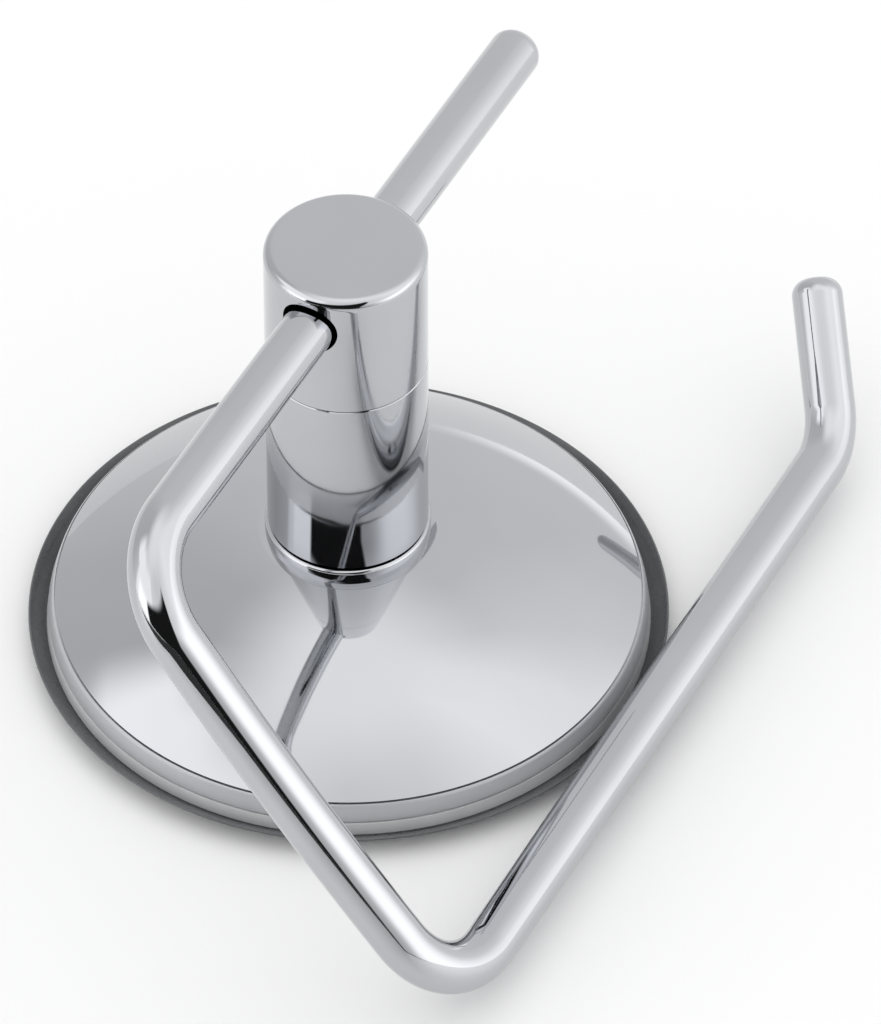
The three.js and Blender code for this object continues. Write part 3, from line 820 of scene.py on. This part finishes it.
def between(stops, value):
    """Value on a line drawn through stops of (place, level)."""
    for (start, first), (end, last) in zip(stops, stops[1:]):
        if value <= end:
            return first + (last - first) * (value - start) / (end - start)
    return stops[-1][1]


def studio_level(turn, rise):
    """Brightness of the studio in one direction: the walls, the ceiling, the patches and then the dark
    place round the camera, each over what comes before it."""
    level = between(WALL_LEVELS, turn)
    level += (CEILING_LEVEL - level) * smooth_step(*CEILING_RISE, rise)
    for left, right, low, high, patch_level, soft_turn, soft_rise in PATCHES:
        inside = smooth_step(left - soft_turn / 2, left + soft_turn / 2, turn)
        inside *= 1 - smooth_step(right - soft_turn / 2, right + soft_turn / 2, turn)
        inside *= smooth_step(low - soft_rise / 2, low + soft_rise / 2, rise)
        inside *= 1 - smooth_step(high - soft_rise, high + soft_rise, rise)
        level += (patch_level - level) * inside
    round_turn = turn % 360
    right_edge = between(DARK_RIGHT, rise)
    top = between(DARK_TOP, round_turn)
    dark = smooth_step(right_edge - DARK_SIDE_SOFT, right_edge + DARK_SIDE_SOFT, round_turn)
    dark *= 1 - smooth_step(DARK_LEFT - DARK_SIDE_SOFT, DARK_LEFT + DARK_SIDE_SOFT, round_turn)
    dark *= 1 - smooth_step(top - DARK_TOP_SOFT, top + DARK_TOP_SOFT, rise)
    return level + (DARK_LEVEL - level) * dark


def make_floor():
    """Plain pale floor that keeps the shadow."""
    corners = [(-FLOOR_SIZE, -FLOOR_SIZE, 0), (FLOOR_SIZE, -FLOOR_SIZE, 0),
               (FLOOR_SIZE, FLOOR_SIZE, 0), (-FLOOR_SIZE, FLOOR_SIZE, 0)]
    floor = mesh_piece("floor", corners, [(0, 1, 2, 3)])
    floor.data.materials.append(plain_material("pale_floor", FLOOR_COLOUR, FLOOR_ROUGHNESS))


def plain_material(name, colour, roughness):
    """Even material of a part of the studio."""
    material = bpy.data.materials.new(name)
    material.use_nodes = True
    shader = material.node_tree.nodes["Principled BSDF"]
    shader.inputs["Base Color"].default_value = (*colour, 1)
    shader.inputs["Roughness"].default_value = roughness
    return material


def make_painted_shade():
    """Painted shade: a dark sheet before the table that stands for the unlit space there, seen only in
    reflections.
    """
    right, away, _ = camera_axes()
    lift = Vector((0, 0, PAINTED_SHADE_LIFT))
    corners = [right * side - away * reach + lift for side, reach in reversed(PAINTED_SHADE_OUTLINE)]
    shade_sheet = mesh_piece("painted_shade_sheet", corners, [range(len(corners))])
    # Near-black colour of painted shade, seen only in the chrome's reflections
    shade_sheet.data.materials.append(plain_material("painted_shade_sheet", PAINTED_SHADE_COLOUR, PAINTED_SHADE_ROUGHNESS))
    hide_from_picture(shade_sheet)


def hide_from_picture(stand):
    """Leaves a part of the studio in reflections alone."""
    stand.visible_camera = False
    stand.visible_diffuse = False
    stand.visible_shadow = False


def make_tent():
    """Light tent round the object, seen only in reflections; its brightness is kept at its points."""
    turns = [-180 + TENT_STEP * i for i in range(round(360 / TENT_STEP) + 1)]
    rises = [TENT_FOOT + TENT_STEP * i for i in range(round((90 - TENT_FOOT) / TENT_STEP))] + [90]
    vertices = [tent_point(turn, rise) for rise in rises for turn in turns]
    levels = [studio_level(turn, rise) for rise in rises for turn in turns]
    width = len(turns)
    faces = []
    for row in range(len(rises) - 1):
        for column in range(width - 1):
            first = row * width + column
            faces.append((first, first + 1, first + width + 1, first + width))
    tent = mesh_piece("light_tent", vertices, faces)
    glow = tent.data.attributes.new("glow", "FLOAT", "POINT")
    glow.data.foreach_set("value", levels)
    tent.data.materials.append(tent_material())
    hide_from_picture(tent)


def tent_point(turn, rise):
    """Point of the tent in one direction of the studio."""
    right, away, _ = camera_axes()
    a, e = math.radians(turn), math.radians(rise)
    on_floor = right * math.sin(a) + away * math.cos(a)
    return (on_floor * math.cos(e) + Vector((0, 0, math.sin(e)))) * TENT_RADIUS


def tent_material():
    """Material that glows as brightly as the tent's points say."""
    material = bpy.data.materials.new("tent_light")
    material.use_nodes = True
    tree = material.node_tree
    tree.nodes.remove(tree.nodes["Principled BSDF"])
    emission = tree.nodes.new("ShaderNodeEmission")
    attribute = tree.nodes.new("ShaderNodeAttribute")
    attribute.attribute_name = "glow"
    tree.links.new(attribute.outputs["Fac"], emission.inputs["Strength"])
    tree.links.new(emission.outputs["Emission"], tree.nodes["Material Output"].inputs["Surface"])
    material.cycles.emission_sampling = "NONE"
    return material


def make_world():
    """Even soft light from all round."""
    world = bpy.data.worlds.new("studio")
    world.use_nodes = True
    background = world.node_tree.nodes["Background"]
    background.inputs["Color"].default_value = (1, 1, 1, 1)
    background.inputs["Strength"].default_value = WORLD_LEVEL
    bpy.context.scene.world = world


build_holder()
make_camera()
make_floor()
make_painted_shade()
make_tent()
make_world()
bpy.context.scene.view_settings.view_transform = "Standard"
